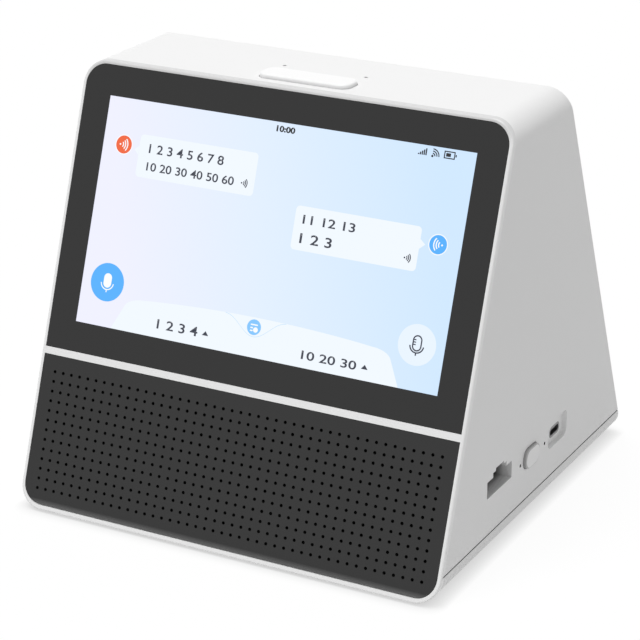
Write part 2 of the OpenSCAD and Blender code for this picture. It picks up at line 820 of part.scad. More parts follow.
// A square metal can, open below, with five rows of vent holes
module processor_shield() {
    inside_w = shield_w - 2 * shield_t;
    vent_pitch = shield_w / 6;
    color("silver") translate([shield_x0, shield_y0, board_top]) difference() {
        cube([shield_w, shield_w, shield_h]);
        translate([shield_t, shield_t, -1]) cube([inside_w, inside_w, shield_h - shield_t + 1]);
        for (i = [1:5], j = [1:5])
            translate([i * vent_pitch, j * vent_pitch, 0]) cylinder(d = 1.6, h = 5, $fn = 16);
    }
}

module board_screws() {
    color("dimgray") for (p = board_posts) translate([p[0], p[1], board_top])
        screw(small_screw_dia, board_screw_l);
}

// Outline of the power button in Y and Z
module power_outline(grow) {
    translate([power_yc, power_zc]) rounded_plate(power_w + 2 * grow, power_h + 2 * grow, power_r + grow);
}

module power_button() {
    edge = 0.5;
    color("gainsboro") {
        on_side(power_flange_x0) linear_extrude(power_flange_t) power_outline(flange_lip);
        on_side(power_flange_x0) linear_extrude(side_x + power_proud - edge - power_flange_x0)
            power_outline(0);
        hull() {
            on_side(side_x + power_proud - edge - 0.02) linear_extrude(0.02) power_outline(0);
            on_side(side_x + power_proud - edge * 0.3) linear_extrude(0.02) power_outline(-edge * 0.3);
            on_side(side_x + power_proud - 0.02) linear_extrude(0.02) power_outline(-edge);
        }
    }
}

module power_plunger() {
    color("black") translate([power_tact_x1 - plunger_in, power_yc, power_zc]) rotate([0, 90, 0])
        cylinder(d = plunger_dia, h = power_plunger_out + plunger_in);
}

module power_switch() {
    body_l = 4;
    color("dimgray") difference() {
        translate([power_tact_x1 - body_l, power_yc - tact_side / 2, board_top])
            cube([body_l, tact_side, power_zc + tact_side / 2 - board_top]);
        translate([power_tact_x1 - power_hole_d, power_yc, power_zc]) rotate([0, 90, 0])
            cylinder(d = plunger_dia + 0.6, h = 4);
    }
}

module status_light_pipes() {
    color("white") for (y = light_ys) translate([led_x, y, light_zc]) rotate([0, 90, 0])
        cylinder(d = light_dia - 2 * fit_gap, h = side_x - 0.6 - led_x, $fn = 24);
}

module status_leds() {
    color("ivory") for (y = light_ys)
        translate([led_x - 1.6, y - 1.2, board_top]) cube([1.6, 2.4, light_zc + 1 - board_top]);
}

// Outline of the talk bar seen from above
module talk_outline(grow) {
    translate([0, talk_yc]) rounded_plate(talk_w + 2 * grow, talk_d + 2 * grow, talk_r + grow);
}

// A layer of the talk bar's rounded upper edge
module talk_layer(z, inset) {
    translate([0, 0, z]) linear_extrude(0.02) talk_outline(-inset);
}

module talk_bar() {
    steps = 4;
    z_edge = z_top + talk_proud - talk_edge_r;
    color("whitesmoke") {
        translate([0, 0, talk_flange_z]) linear_extrude(talk_flange_t) talk_outline(flange_lip);
        translate([0, 0, talk_flange_z]) linear_extrude(z_edge - talk_flange_z) talk_outline(0);
        hull() for (i = [0:steps]) talk_layer(
            z_edge - 0.02 + talk_edge_r * sin(90 * i / steps), talk_edge_r * (1 - cos(90 * i / steps)));
        for (sx = [-1, 1]) translate([sx * talk_switch_x, talk_yc, talk_stem_z])
            cylinder(d = 5, h = talk_flange_z - talk_stem_z + 0.5);
    }
}

talk_stem_z = top_board_z + tact_h + talk_plunger_out;

module talk_plungers() {
    color("black") for (sx = [-1, 1])
        translate([sx * talk_switch_x, talk_yc, top_board_z + tact_h - plunger_in])
            cylinder(d = plunger_dia, h = talk_plunger_out + plunger_in);
}

module talk_switches() {
    color("dimgray") for (sx = [-1, 1]) translate([sx * talk_switch_x, talk_yc, top_board_z])
        difference() {
        translate([-tact_side / 2, -tact_side / 2, 0]) cube([tact_side, tact_side, tact_h]);
        translate([0, 0, tact_h - talk_hole_d]) cylinder(d = plunger_dia + 0.6, h = 4);
    }
}

top_posts = [for (sx = [-1, 1], y = [talk_yc - 3, mic_yc + 3.6]) [sx * top_post_x, y]];

module talk_board() {
    color("darkgreen") difference() {
        translate([-top_board_w / 2, top_board_y0, top_board_z - board_t])
            cube([top_board_w, top_board_y1 - top_board_y0, board_t]);
        for (p = top_posts) translate([p[0], p[1], top_board_z - board_t - 1])
            cylinder(d = small_screw_dia + 0.4, h = board_t + 2, $fn = 32);
    }
}

module talk_board_screws() {
    color("dimgray") for (p = top_posts) translate([p[0], p[1], top_board_z - board_t])
        rotate([180, 0, 0]) screw(small_screw_dia, talk_board_screw_l);
}

module mic_places() {
    for (sx = [-1, 1]) translate([sx * mic_pitch / 2, mic_yc, 0]) children();
}

module microphones() {
    color("gold") mic_places() translate([0, 0, top_board_z]) difference() {
        cylinder(d = mic_dia, h = mic_h);
        translate([0, 0, 0.6]) cylinder(d = 0.8, h = mic_h, $fn = 16);
    }
}

module microphone_seals() {
    color([0.1, 0.1, 0.1]) mic_places() translate([0, 0, top_board_z + mic_h]) difference() {
        cylinder(d = mic_dia + 2, h = top_in - top_board_z - mic_h);
        translate([0, 0, -1]) cylinder(d = mic_hole_dia, h = top_in - top_board_z + 2, $fn = 24);
    }
}

module upper_shell() {
    color("whitesmoke") difference() {
        union() {
            intersection() {
                difference() {
                    envelope(0);
                    envelope(wall);
                }
                behind_front(rim_d + joint_gap);
                level_slab(z0 + seam_z + seam_gap / 2, big);
            }
            shell_posts();
            // Thicker wall that carries the floor of the USB recess
            intersection() {
                on_side(usb_floor_x - usb_pad) linear_extrude(usb_d + usb_pad - 0.2)
                    translate([usb_yc, usb_zc]) rounded_plate(usb_w + 3, usb_h + 3, usb_r + 1.5);
                envelope(0.1);
            }
        }
        on_side(inner_x - 1) linear_extrude(wall + 2) net_mouth(joint_gap);
        on_side(inner_x - 1) linear_extrude(wall + 2) power_outline(button_gap);
        for (y = light_ys) translate([inner_x - 1, y, light_zc]) rotate([0, 90, 0])
            cylinder(d = light_dia, h = wall + 2, $fn = 32);
        on_side(usb_floor_x) linear_extrude(usb_d + 1)
            translate([usb_yc, usb_zc]) rounded_plate(usb_w, usb_h, usb_r);
        on_side(usb_floor_x - usb_pad - 1) linear_extrude(usb_pad + 2) usb_outline(fit_gap / 2);
        translate([0, 0, top_in - 1]) linear_extrude(wall + 2) talk_outline(button_gap);
        mic_places() translate([0, 0, top_in - 1]) cylinder(d = mic_hole_dia, h = wall + 2, $fn = 32);
        for (p = case_posts) translate([p[0], p[1], 0])
            cylinder(d = case_screw_dia + pilot_gap, h = z0 + 24, $fn = 32);
        for (p = top_posts) translate([p[0], p[1], top_board_z - 1])
            cylinder(d = small_screw_dia + pilot_gap, h = 7, $fn = 32);
        on_front() for (sx = [-1, 1], s = frame_screw_s)
            translate([sx * frame_screw_x, s, -frame_post_n - frame_post_l - 1])
                cylinder(d = small_screw_dia + pilot_gap, h = frame_post_l + 2, $fn = 32);
    }
}

// Posts inside the shell: four for the base, four for the talk board and four for the rim piece
module shell_posts() {
    for (p = case_posts) {
        sx = sign(p[0]);
        translate([p[0], p[1], base_floor + 0.3])
            cylinder(d = case_post_dia, h = case_post_top - base_floor - 0.3);
        translate([sx > 0 ? p[0] : -inner_x - 0.5, p[1] - 1, z0 + seam_z + 5])
            cube([inner_x + 0.5 - abs(p[0]), 2, case_post_top - z0 - seam_z - 5]);
    }
    for (p = top_posts) translate([p[0], p[1], top_board_z])
        cylinder(d = top_post_dia, h = top_in - top_board_z + 0.5);
    intersection() {
        on_front() for (sx = [-1, 1], s = frame_screw_s)
            translate([sx > 0 ? frame_screw_x - 2.4 : -inner_x - 0.5, s - 2.4, -frame_post_n - frame_post_l])
                cube([inner_x + 0.5 - frame_screw_x + 2.4, 4.8, frame_post_l]);
        envelope(0.5);
    }
}

// The space inside the base's lip, straight up from the floor
module lip_hollow() {
    half = side_x - lip_in - lip_t;
    lo = z0 + wall / 2;
    hi = z0 + seam_z + 2 * lip_h;
    rotate([90, 0, 90]) translate([0, 0, -half]) linear_extrude(2 * half) polygon([
        [y_front - 5, lo], [back_y(lo, lip_in + lip_t), lo],
        [back_y(hi, lip_in + lip_t), hi], [y_front - 5, hi]
    ]);
}

// Lip that stands inside the shell's lower edge and closes the joint
module base_lip() {
    difference() {
        intersection() {
            union() {
                intersection() {
                    envelope(lip_in);
                    level_slab(base_floor - 0.2, z0 + seam_z + lip_h);
                }
                intersection() {
                    envelope(wall - 0.2);
                    level_slab(base_floor - 0.2, z0 + seam_z - 1.5);
                }
            }
            behind_front(rim_d + skirt_d + 0.4);
        }
        lip_hollow();
    }
}

module base_tray() {
    color("gainsboro") difference() {
        union() {
            intersection() {
                difference() {
                    envelope(0);
                    envelope(wall);
                }
                behind_front(rim_d + joint_gap);
                level_slab(0, z0 + seam_z - seam_gap / 2);
            }
            base_lip();
            for (p = board_posts) translate([p[0], p[1], base_floor - 0.2])
                cylinder(d = board_post_dia, h = board_bottom - base_floor + 0.2);
        }
        for (p = board_posts) translate([p[0], p[1], base_floor + 2])
            cylinder(d = small_screw_dia + pilot_gap, h = board_z, $fn = 32);
        for (p = case_posts) translate([p[0], p[1], z0 - 1]) {
            cylinder(d = case_screw_dia + 0.4, h = wall + 2, $fn = 32);
            cylinder(d = 1.85 * case_screw_dia + 0.6, h = 1 + head_recess);
        }
        for (x = [-foot_x, foot_x], y = foot_ys) translate([x, y, z0 - 1])
            cylinder(d = foot_dia + 0.3, h = 1 + foot_sink);
    }
}

module rubber_feet() {
    color([0.2, 0.2, 0.2]) for (x = [-foot_x, foot_x], y = foot_ys) translate([x, y, 0]) {
        cylinder(d1 = foot_dia - 1.2, d2 = foot_dia - 0.4, h = foot_h / 2);
        translate([0, 0, foot_h / 2]) cylinder(d = foot_dia - 0.4, h = foot_h / 2 + foot_sink);
    }
}

module case_screws() {
    color("dimgray") for (p = case_posts) translate([p[0], p[1], z0 + head_recess])
        rotate([180, 0, 0]) screw(case_screw_dia, case_screw_l);
}

module frame_screws() {
    color("dimgray") on_front() for (sx = [-1, 1], s = frame_screw_s)
        translate([sx * frame_screw_x, s, -rim_d - 0.6]) screw(small_screw_dia, frame_screw_l);
}

// Two round cells lie side by side in an open tray
module battery_tray() {
    h = cell_dia * 0.55;
    color([0.14, 0.14, 0.15]) difference() {
        translate([tray_x - tray_w / 2, tray_y - tray_d / 2, base_floor]) cube([tray_w, tray_d, h]);
        cell_places() cylinder(d = cell_dia + 0.5, h = cell_l + 1.4, center = true);
        translate([tray_x - cell_l / 2 - 0.7, tray_y - tray_d / 2 + tray_wall + 3, base_floor + tray_wall + 6])
            cube([cell_l + 1.4, tray_d - 2 * tray_wall - 6, h]);
    }
}

module cell_places() {
    off = (cell_dia + cell_gap) / 2;
    for (sy = [-1, 1])
        translate([tray_x, tray_y + sy * off, base_floor + tray_wall + cell_dia / 2 + 0.25])
            rotate([0, 90, 0]) children();
}

module battery_cells() {
    color("steelblue") cell_places() union() {
        cylinder(d = cell_dia, h = cell_l - 1, center = true);
        translate([0, 0, cell_l / 2 - 0.6]) cylinder(d = 6, h = 0.6);
        translate([0, 0, -cell_l / 2 + 0.1]) cylinder(d = cell_dia - 3, h = 0.5);
    }
}

// A printed antenna stuck to the inside of the left wall
module wireless_antenna() {
    antenna_d = body_d / 5;
    antenna_h = body_h / 12;
    color("goldenrod") translate([-inner_x, y_front + 2 * antenna_d, z0 + 4.5 * antenna_h])
        cube([0.4, antenna_d, antenna_h]);
}

upper_shell();
base_tray();
front_frame();
rubber_feet();
touch_glass();
display_panel();
display_bracket();
display_ribbon();
speaker_grille();
grille_cloth();
speaker_baffle();
speaker_gaskets();
speaker_baskets();
speaker_cones();
speaker_magnets();
main_board();
processor_shield();
network_jack();
network_contacts();
usb_shell();
usb_tongue();
power_button();
power_plunger();
power_switch();
status_light_pipes();
status_leds();
talk_bar();
talk_plungers();
talk_switches();
talk_board();
microphones();
microphone_seals();
battery_tray();
battery_cells();
wireless_antenna();
case_screws();
board_screws();
display_screws();
speaker_screws();
talk_board_screws();
frame_screws();
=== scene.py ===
import math

import bpy
from mathutils import Matrix, Vector


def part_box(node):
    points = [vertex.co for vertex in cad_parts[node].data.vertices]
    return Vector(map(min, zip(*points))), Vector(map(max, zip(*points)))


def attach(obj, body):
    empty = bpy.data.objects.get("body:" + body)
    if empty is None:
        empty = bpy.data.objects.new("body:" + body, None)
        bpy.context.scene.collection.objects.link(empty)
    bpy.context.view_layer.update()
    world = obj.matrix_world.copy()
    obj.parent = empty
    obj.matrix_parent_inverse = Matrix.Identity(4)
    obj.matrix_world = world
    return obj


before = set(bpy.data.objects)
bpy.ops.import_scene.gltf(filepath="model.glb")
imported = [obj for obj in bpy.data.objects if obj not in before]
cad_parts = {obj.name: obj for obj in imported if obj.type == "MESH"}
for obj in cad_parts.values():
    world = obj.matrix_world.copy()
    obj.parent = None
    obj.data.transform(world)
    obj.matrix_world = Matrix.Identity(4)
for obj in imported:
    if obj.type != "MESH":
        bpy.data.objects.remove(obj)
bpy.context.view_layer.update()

MM = 0.001
HOUSING = "housing"

# The front face, in metres: its lower edge, its lean and how deep the panels lie in the rim
FRONT_Y = -90.6734 * MM
FOOT_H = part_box("base_tray")[0][2]
FRONT_TILT = math.radians(19.4)
PANEL_SINK = 0.15 * MM

# The gap between shell and base, above the base's underside, in millimetres from here on
SEAM_Z = 10.5
SEAM_HALF = 0.27

# The right side's face, and the middles of the lights, the USB socket and the power button in it
SIDE_X = 91
LIGHT_YS = (-16.97, 6.63)
LIGHT_Z = 27.8
USB_Y = 21.03
USB_Z = 27.6
POWER_Y = -7.47
POWER_Z = 28.4
POWER_TOP_X = 92.3

# The lit picture: its size, its middle up the slope and the height of one printed layer
PICTURE_W = 155.4
PICTURE_H = 88.6
PICTURE_S = 120.27
LAYER = 0.012

# The picture's background: its slant, where its colours start and end, and its middle colour's place
PICTURE_SLANT = 0.22
PICTURE_LEFT = -42
PICTURE_RIGHT = 98
PICTURE_MIDDLE = 0.45

# Half the angle of a sound arc, in degrees
ARC_REACH = 42

# Size of the soft spots in a mottled finish
MOTTLE_MM = 2

# Letter size of the numbers before they are fitted to their place, their stroke's growth, and the
# steps in each of their curves, few enough that no outline crosses itself
NUMBER_SIZE = 4.0
NUMBER_WEIGHT = 0.06
CLOCK_WEIGHT = 0.17
NUMBER_STEPS = 6

# Light: the lamp's strength and softness, and the world's level on the object
KEY_STRENGTH = 2.08
KEY_SPREAD = math.radians(25)
KEY_FROM = Vector((-0.12, -0.17, 1.0))
WORLD_LEVEL = 0.37
WHITE = (1.0, 1.0, 1.0, 1.0)

# The floor: how much of it is its own even white, for the object's light and for the camera, and the
# tilt of its contact shadow, which is lighter before the object than behind it
EVEN_SHARE = 0.5
SEEN_SHARE = 0.93
CONTACT_FACING = (0.0, -0.8, 0.6)

# A colour mix node has its colours at these sockets and its result at this output
MIX_A = 6
MIX_B = 7
MIX_RESULT = 2


def deselect():
    bpy.ops.object.select_all(action="DESELECT")


def linear(hex_code):
    """An sRGB colour such as 3B3B3B as linear red, green, blue and alpha."""
    values = []
    for i in (0, 2, 4):
        c = int(hex_code[i:i + 2], 16) / 255
        values.append(c / 12.92 if c <= 0.04045 else ((c + 0.055) / 1.055) ** 2.4)
    return (*values, 1.0)


def add_node(tree, kind, inputs=None, **settings):
    """Adds a shader node, sets its own settings and then its sockets. An output given here is linked."""
    node = tree.nodes.new(kind)
    for name, value in settings.items():
        setattr(node, name, value)
    for name, value in (inputs or {}).items():
        socket = node.inputs[name]
        if isinstance(value, bpy.types.NodeSocket):
            tree.links.new(value, socket)
        else:
            socket.default_value = value
    return node


def new_material(name):
    mat = bpy.data.materials.new(name)
    mat.use_nodes = True
    tree = mat.node_tree
    shader = tree.nodes["Principled BSDF"]
    return mat, tree, shader


def object_place(tree):
    """Where on the object a point lies, as separate X, Y and Z outputs in metres."""
    place = add_node(tree, "ShaderNodeTexCoord")
    return add_node(tree, "ShaderNodeSeparateXYZ", {"Vector": place.outputs["Object"]}).outputs


def seen_rays(tree):
    """1 for a ray that the camera sees straight, in a reflection or through glass, and else 0."""
    path = add_node(tree, "ShaderNodeLightPath")
    straight = add_node(tree, "ShaderNodeMath", {
        0: path.outputs["Is Camera Ray"], 1: path.outputs["Is Glossy Ray"]}, operation="MAXIMUM")
    through = add_node(tree, "ShaderNodeMath", {
        0: straight.outputs[0], 1: path.outputs["Is Transmission Ray"]}, operation="MAXIMUM")
    return through.outputs[0]


def surface(name, colour, rough, grain_mm, grain_depth, metal=0.0, speckle=0.0, sheen=0.0,
            rough_spread=0.05):
    """A procedural finish: a colour, with a mottle if speckle is given, and a fine grain of a real size."""
    mat, tree, shader = new_material(name)
    base = linear(colour)
    shader.inputs["Metallic"].default_value = metal
    shader.inputs["Sheen Weight"].default_value = sheen
    shader.inputs["Base Color"].default_value = base
    place = add_node(tree, "ShaderNodeTexCoord").outputs["Object"]
    if speckle:
        spots = add_node(tree, "ShaderNodeTexNoise", {
            "Vector": place, "Scale": 1 / (MOTTLE_MM * MM), "Detail": 3.0})
        tone = add_node(tree, "ShaderNodeMix", {"Factor": spots.outputs["Fac"]}, data_type="RGBA")
        tone.inputs[MIX_A].default_value = tuple(c * (1 - speckle) for c in base[:3]) + (1.0,)
        tone.inputs[MIX_B].default_value = tuple(c * (1 + speckle) for c in base[:3]) + (1.0,)
        tree.links.new(tone.outputs[MIX_RESULT], shader.inputs["Base Color"])
    grain = add_node(tree, "ShaderNodeTexNoise", {
        "Vector": place, "Scale": 1 / (grain_mm * MM), "Detail": 2.0, "Roughness": 0.6})
    bump = add_node(tree, "ShaderNodeBump", {
        "Height": grain.outputs["Fac"], "Strength": 1.0, "Distance": grain_depth * MM})
    tree.links.new(bump.outputs["Normal"], shader.inputs["Normal"])
    spread = add_node(tree, "ShaderNodeMapRange", {
        "Value": grain.outputs["Fac"], "To Min": rough - rough_spread, "To Max": rough + rough_spread})
    tree.links.new(spread.outputs["Result"], shader.inputs["Roughness"])
    return mat


def recolour(mat, share, colour):
    """Mixes another colour into a finish, by a share from 0 to 1."""
    tree = mat.node_tree
    socket = tree.nodes["Principled BSDF"].inputs["Base Color"]
    tone = add_node(tree, "ShaderNodeMix", {"Factor": share}, data_type="RGBA")
    if socket.is_linked:
        tree.links.new(socket.links[0].from_socket, tone.inputs[MIX_A])
    else:
        tone.inputs[MIX_A].default_value = tuple(socket.default_value)
    tone.inputs[MIX_B].default_value = linear(colour)
    tree.links.new(tone.outputs[MIX_RESULT], socket)


def fade(mat, axis, start, end, colour):
    """Lets a finish turn to another colour along an axis, from start to end in millimetres."""
    tree = mat.node_tree
    share = add_node(tree, "ShaderNodeMapRange", {
        "Value": object_place(tree)[axis], "From Min": start * MM, "From Max": end * MM})
    recolour(mat, share.outputs["Result"], colour)


def seam_shade(mat, colour):
    """Paints shade onto a finish inside the narrow gap between the shell and the base."""
    tree = mat.node_tree
    share = add_node(tree, "ShaderNodeMath", {
        0: object_place(tree)["Z"], 1: FOOT_H + SEAM_Z * MM, 2: SEAM_HALF * MM}, operation="COMPARE")
    recolour(mat, share.outputs[0], colour)


def slot_shade(mat, y, z, half_length, radius, x_low, x_high, colour):
    """Recolours a round ended slot or a pinhole in the right side, between two X, in millimetres."""
    tree = mat.node_tree
    place = object_place(tree)
    off = add_node(tree, "ShaderNodeMath", {0: place["Y"], 1: y * MM}, operation="SUBTRACT")
    side = add_node(tree, "ShaderNodeMath", {0: off.outputs[0]}, operation="ABSOLUTE")
    past = add_node(tree, "ShaderNodeMath", {
        0: side.outputs[0], 1: half_length * MM}, operation="SUBTRACT")
    ends = add_node(tree, "ShaderNodeMath", {0: past.outputs[0], 1: 0.0}, operation="MAXIMUM")
    rise = add_node(tree, "ShaderNodeMath", {0: place["Z"], 1: z * MM}, operation="SUBTRACT")
    flat = add_node(tree, "ShaderNodeCombineXYZ", {"X": ends.outputs[0], "Y": rise.outputs[0]})
    far = add_node(tree, "ShaderNodeVectorMath", {0: flat.outputs[0]}, operation="LENGTH")
    inside = add_node(tree, "ShaderNodeMath", {
        0: far.outputs["Value"], 1: radius * MM}, operation="LESS_THAN")
    middle = (x_low + x_high) / 2 * MM
    reach = (x_high - x_low) / 2 * MM
    deep = add_node(tree, "ShaderNodeMath", {0: place["X"], 1: middle, 2: reach}, operation="COMPARE")
    share = add_node(tree, "ShaderNodeMath", {
        0: inside.outputs[0], 1: deep.outputs[0]}, operation="MULTIPLY")
    recolour(mat, share.outputs[0], colour)


def glow(name, colour):
    """A lit part of the picture: black where it is off, as smooth as the cover glass, and lit by itself."""
    mat, tree, shader = new_material(name)
    shader.inputs["Base Color"].default_value = (0.0, 0.0, 0.0, 1.0)
    shader.inputs["Roughness"].default_value = 0.12
    shader.inputs["Emission Color"].default_value = linear(colour)
    shader.inputs["Emission Strength"].default_value = 1.0
    return mat


def picture_glow(name, left, middle, right):
    """The picture's background: three soft colours from left to right, a little slanted."""
    mat = glow(name, middle)
    tree = mat.node_tree
    shader = tree.nodes["Principled BSDF"]
    place = object_place(tree)
    up = add_node(tree, "ShaderNodeMath", {0: place["Z"], 1: PICTURE_SLANT}, operation="MULTIPLY")
    across = add_node(tree, "ShaderNodeMath", {0: place["X"], 1: up.outputs[0]}, operation="ADD")
    span = add_node(tree, "ShaderNodeMapRange", {
        "Value": across.outputs[0], "From Min": PICTURE_LEFT * MM, "From Max": PICTURE_RIGHT * MM})
    ramp = add_node(tree, "ShaderNodeValToRGB", {"Fac": span.outputs["Result"]})
    ramp.color_ramp.elements[0].color = linear(left)
    ramp.color_ramp.elements[1].color = linear(right)
    ramp.color_ramp.elements.new(PICTURE_MIDDLE).color = linear(middle)
    tree.links.new(ramp.outputs["Color"], shader.inputs["Emission Color"])
    return mat


def floor_white(name, bounce_colour, shadow, reach_mm):
    """A white floor that shows a soft contact shadow and throws a plain, even light back."""
    mat, tree, shader = new_material(name)
    shader.inputs["Roughness"].default_value = 0.9
    shader.inputs["Specular IOR Level"].default_value = 0.0
    seen = seen_rays(tree)
    tone = add_node(tree, "ShaderNodeMix", {"Factor": seen}, data_type="RGBA")
    tone.inputs[MIX_A].default_value = linear(bounce_colour)
    tone.inputs[MIX_B].default_value = WHITE
    tree.links.new(tone.outputs[MIX_RESULT], shader.inputs["Base Color"])
    near = add_node(tree, "ShaderNodeAmbientOcclusion", {
        "Distance": reach_mm * MM, "Normal": CONTACT_FACING}, samples=12)
    depth = add_node(tree, "ShaderNodeMapRange", {"Value": near.outputs["AO"], "To Min": 1 - shadow})
    show = add_node(tree, "ShaderNodeEmission", {"Color": WHITE, "Strength": depth.outputs["Result"]})
    even = add_node(tree, "ShaderNodeEmission", {"Color": linear(bounce_colour), "Strength": 1.0})
    light = add_node(tree, "ShaderNodeMixShader", {0: seen, 1: even.outputs[0], 2: show.outputs[0]})
    share = add_node(tree, "ShaderNodeMapRange", {
        "Value": seen, "To Min": EVEN_SHARE, "To Max": SEEN_SHARE})
    mix = add_node(tree, "ShaderNodeMixShader", {
        0: share.outputs["Result"], 1: shader.outputs[0], 2: light.outputs[0]})
    tree.links.new(mix.outputs[0], tree.nodes["Material Output"].inputs["Surface"])
    return mat


# Finishes. Each pattern's grain is its real size in millimetres, drawn no finer than a render can show.

# Injection moulded ABS from a fine spark eroded mould: even, matt, with only a breath of texture
shell_white = surface("moulded white ABS", "F1F1F1", 0.5, grain_mm=0.35, grain_depth=0.006)
# The same ABS for the base, painted a little darker as shade because it faces the table
base_white = surface("moulded white base ABS", "EFEFEF", 0.5, grain_mm=0.35, grain_depth=0.006)
# Polished mould steel gives the front rim a soft satin line round the dark panels
rim_white = surface("satin moulded white ABS", "F8F8F8", 0.36, grain_mm=0.3, grain_depth=0.0015)
# The talk bar is touched all day: a brighter white with a satin top
talk_white = surface("satin white polycarbonate", "FAFAFA", 0.4, grain_mm=0.3, grain_depth=0.003)
# The power button is white, with painted shade in grey on its cap's edge and side wall, so its outline
# reads on the white side
power_white = surface("white button cap with painted edge shade", "BCBCBC", 0.4,
                      grain_mm=0.3, grain_depth=0.003)
# Strengthened glass with a black print behind it: a deep, even dark with a soft sheen
cover_glass = surface("black printed cover glass", "0C0C0C", 0.14,
                      grain_mm=4.0, grain_depth=0.0002, rough_spread=0.01)
# Perforated aluminium with a fine powder coat: dark grey, matt, faintly mottled
grille_coat = surface("powder coated aluminium", "131313", 0.5,
                      grain_mm=0.25, grain_depth=0.004, speckle=0.04)
# Woven polyester behind the holes: black, without any shine
black_cloth = surface("black acoustic cloth", "060606", 0.9,
                      grain_mm=0.3, grain_depth=0.05, sheen=0.2)
# Moulded polycarbonate for the parts that carry others: black, half matt
black_plastic = surface("black moulded polycarbonate", "161616", 0.45,
                        grain_mm=0.3, grain_depth=0.005)
# Moulded silicone rubber: black and dull, with a dusty grain
foot_rubber = surface("matt black rubber", "1B1B1B", 0.8, grain_mm=0.4, grain_depth=0.02)
# Glass filled nylon: light grey, a little waxy, with painted shade where the cavity goes in
jack_grey = surface("moulded light grey nylon", "F0F0F0", 0.45, grain_mm=0.3, grain_depth=0.004)
# Deep drawn steel with bright nickel: a clean mirror, a little blurred
bright_steel = surface("nickel plated steel", "C4C4C6", 0.28, metal=1.0,
                       grain_mm=0.2, grain_depth=0.002)
# The socket's shell is the same steel, dulled by plugs
dull_steel = surface("dull nickel plated steel", "8C8C8E", 0.35, metal=1.0,
                     grain_mm=0.2, grain_depth=0.002)
# Pressed sheet and screws with blue zinc: grey, slightly uneven
zinc_steel = surface("zinc plated steel", "A5A6AA", 0.35, metal=1.0,
                     grain_mm=0.4, grain_depth=0.004)
# Closed cell foam: black, open pores along its cut edge
black_foam = surface("black foam", "101010", 0.95, grain_mm=0.6, grain_depth=0.1)
# Pressed paper pulp with a thin coat: dull black, fibrous
cone_paper = surface("coated cone paper", "111111", 0.7, grain_mm=0.5, grain_depth=0.03)
# Bronze springs and caps with hard gold
gilt = surface("gold plated bronze", "E0B354", 0.25, metal=1.0, grain_mm=0.2, grain_depth=0.001)
# Glass fibre laminate under green solder mask: glossy, with the weave showing as a slow mottle
board_green = surface("green solder mask", "0F5A2C", 0.35,
                      grain_mm=0.8, grain_depth=0.01, speckle=0.1)
# Polyimide film over copper: clear amber brown
amber_film = surface("amber polyimide film", "C57A22", 0.3,
                     grain_mm=1.0, grain_depth=0.005, speckle=0.05)
# Heat shrunk film on the cells: blue, shiny, slightly wavy
cell_blue = surface("blue shrink sleeve", "2456A0", 0.3,
                    grain_mm=1.5, grain_depth=0.01, speckle=0.04)
# Smoked acrylic rods that stay dark until they are lit
light_smoke = surface("smoked acrylic", "3C3E40", 0.3, grain_mm=0.2, grain_depth=0.002)
# Cast epoxy lens with a little phosphor: ivory
lens_ivory = surface("ivory epoxy", "E8DFC0", 0.4, grain_mm=0.3, grain_depth=0.003)
# The module's metal and glass edge behind the cover glass
module_grey = surface("grey display module", "2A2C30", 0.3, grain_mm=0.5, grain_depth=0.002)

# Painted shade in the gap between shell and base, in the pinholes of the lights and round the USB socket's
# opening
for white in (shell_white, base_white):
    seam_shade(white, "929292")
for y in LIGHT_YS:
    slot_shade(shell_white, y, LIGHT_Z, 0, 0.7, SIDE_X - 7, SIDE_X + 0.1, "2A2A2A")
slot_shade(shell_white, USB_Y, USB_Z, 2.87, 2.35, SIDE_X - 6, SIDE_X - 1.8, "A2A2A2")
# Painted shade: the base turns towards the table and is darker lower down, and the rim's top turns away
# from the light and is darker
fade(base_white, "Z", 10.8, 3.5, "DEDEDE")
fade(rim_white, "Z", 160.0, 166.0, "DADADA")
# The grille's lower edge rolls back, and a painted highlight makes its coat lighter there
fade(grille_coat, "Z", 5.0, 2.4, "6E6E6E")
# Painted shade: the network socket darkens inwards and up towards the notches for its latch
fade(jack_grey, "X", SIDE_X - 3.4, SIDE_X - 8.2, "141414")
fade(jack_grey, "Z", 31.0, 33.5, "161616")
# The power button's flat top is white; its edge and side wall are painted grey as shade
slot_shade(power_white, POWER_Y, POWER_Z, 2.6, 3.6, POWER_TOP_X - 0.1, POWER_TOP_X + 0.1, "F3F3F3")
fade(power_white, "X", POWER_TOP_X - 0.3, POWER_TOP_X - 0.4, "A4A4A4")

node_finish = {
    "upper_shell": shell_white, "base_tray": base_white, "front_frame": rim_white,
    "rubber_feet": foot_rubber, "touch_glass": cover_glass, "display_panel": module_grey,
    "display_bracket": zinc_steel, "display_ribbon": amber_film, "speaker_grille": grille_coat,
    "grille_cloth": black_cloth, "speaker_baffle": black_plastic, "speaker_gaskets": black_foam,
    "speaker_baskets": black_plastic, "speaker_cones": cone_paper, "speaker_magnets": zinc_steel,
    "main_board": board_green, "processor_shield": bright_steel, "network_jack": jack_grey,
    "network_contacts": gilt, "usb_shell": dull_steel, "usb_tongue": black_plastic,
    "power_button": power_white, "power_plunger": black_plastic, "power_switch": black_plastic,
    "status_light_pipes": light_smoke, "status_leds": lens_ivory, "talk_bar": talk_white,
    "talk_plungers": black_plastic, "talk_switches": black_plastic, "talk_board": board_green,
    "microphones": gilt, "microphone_seals": foot_rubber, "battery_tray": black_plastic,
    "battery_cells": cell_blue, "wireless_antenna": amber_film, "case_screws": zinc_steel,
    "board_screws": zinc_steel, "display_screws": zinc_steel, "speaker_screws": zinc_steel,
    "talk_board_screws": zinc_steel, "frame_screws": zinc_steel,
}
for name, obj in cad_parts.items():
    obj.data.materials.clear()
    obj.data.materials.append(node_finish[name])


# The picture: flat pieces on the cover glass, drawn in millimetres across and up the slope
screen_place = (Matrix.Translation((0, FRONT_Y, FOOT_H))
                @ Matrix.Rotation(math.pi / 2 - FRONT_TILT, 4, "X"))


